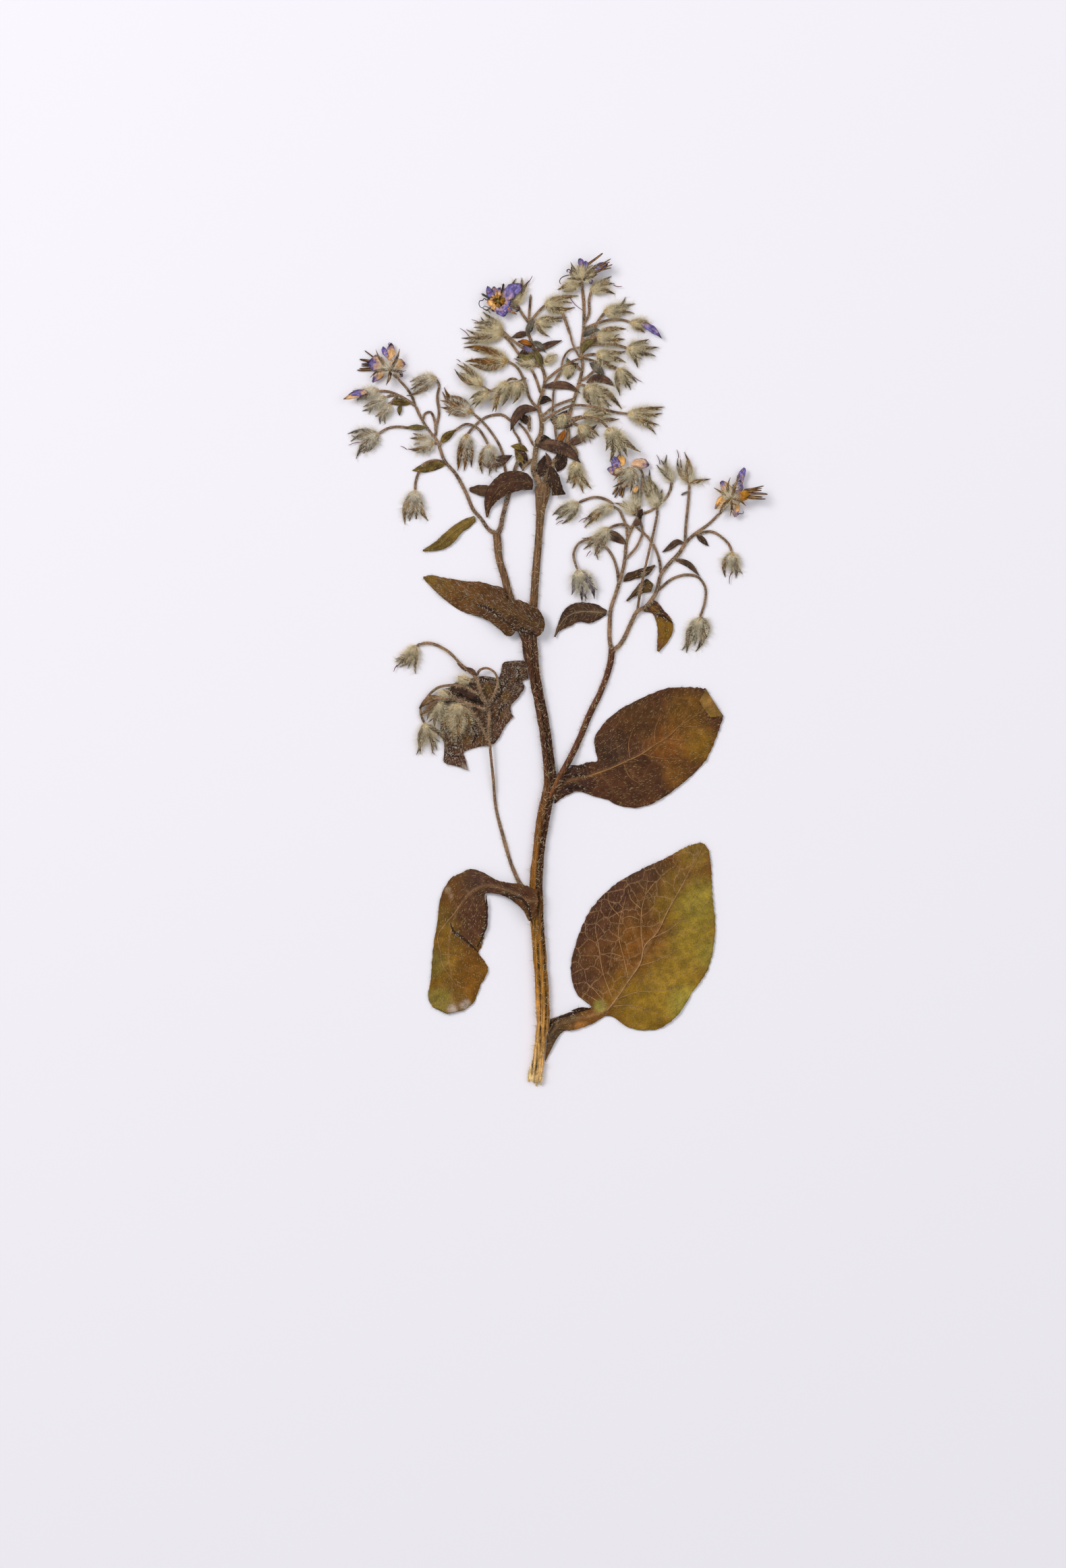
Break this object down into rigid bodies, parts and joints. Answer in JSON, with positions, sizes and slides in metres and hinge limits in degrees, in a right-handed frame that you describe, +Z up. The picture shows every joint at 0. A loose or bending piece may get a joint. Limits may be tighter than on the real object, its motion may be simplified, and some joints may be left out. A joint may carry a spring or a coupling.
{
  "type": "pressed borage plant",
  "caption": "Pressed, dried flowering stem of borage with broad hairy leaves, nodding cymes and small five-petalled flowers, lying flat.",
  "frame": {"origin": "on the surface that the plant lies on, under the middle of its length and width", "axes": "+Y along the stem from its cut end to its tip, +X to the right as seen from above, +Z up from the surface"},
  "size_m": [0.1129, 0.2222, 0.0044],
  "materials": {
    "stem": "dry matt stem with fine bristles",
    "leaf_dark": "dried dark brown leaf, matt and hairy",
    "leaf_olive": "dried olive leaf with pale veins",
    "calyx": "dried olive sepals with cream hairs",
    "petal": "papery violet petals, tan in the middle",
    "anther": "dark brown, slightly glossy"
  },
  "bodies": {
    "root": {"main_stem": "stem", "leaf_middle_right": "leaf_dark", "leaf_middle_left": "leaf_dark", "leaf_upper_left": "leaf_dark", "leaf_fork_left": "leaf_dark", "leaf_fork_right": "leaf_dark", "leaf_right_branch": "leaf_dark", "leaf_right_fork": "leaf_dark", "leaf_outer_arm_upper": "leaf_dark", "leaf_outer_arm_lower": "leaf_dark", "leaf_lower_right": "leaf_olive", "leaf_lower_left": "leaf_olive", "leaf_left_arm": "leaf_olive", "cyme_lower_left": "calyx", "cymes_upper_left": "calyx", "cymes_apex": "calyx", "cymes_right": "calyx", "corolla_left": "petal", "corolla_centre": "petal", "corolla_top": "petal", "corolla_right": "petal", "corolla_inner": "petal", "bud_petals_left": "petal", "bud_petals_right": "petal", "anthers_left": "anther", "anthers_top": "anther", "anthers_right": "anther", "anthers_inner": "anther"}
  },
  "joints": []
}
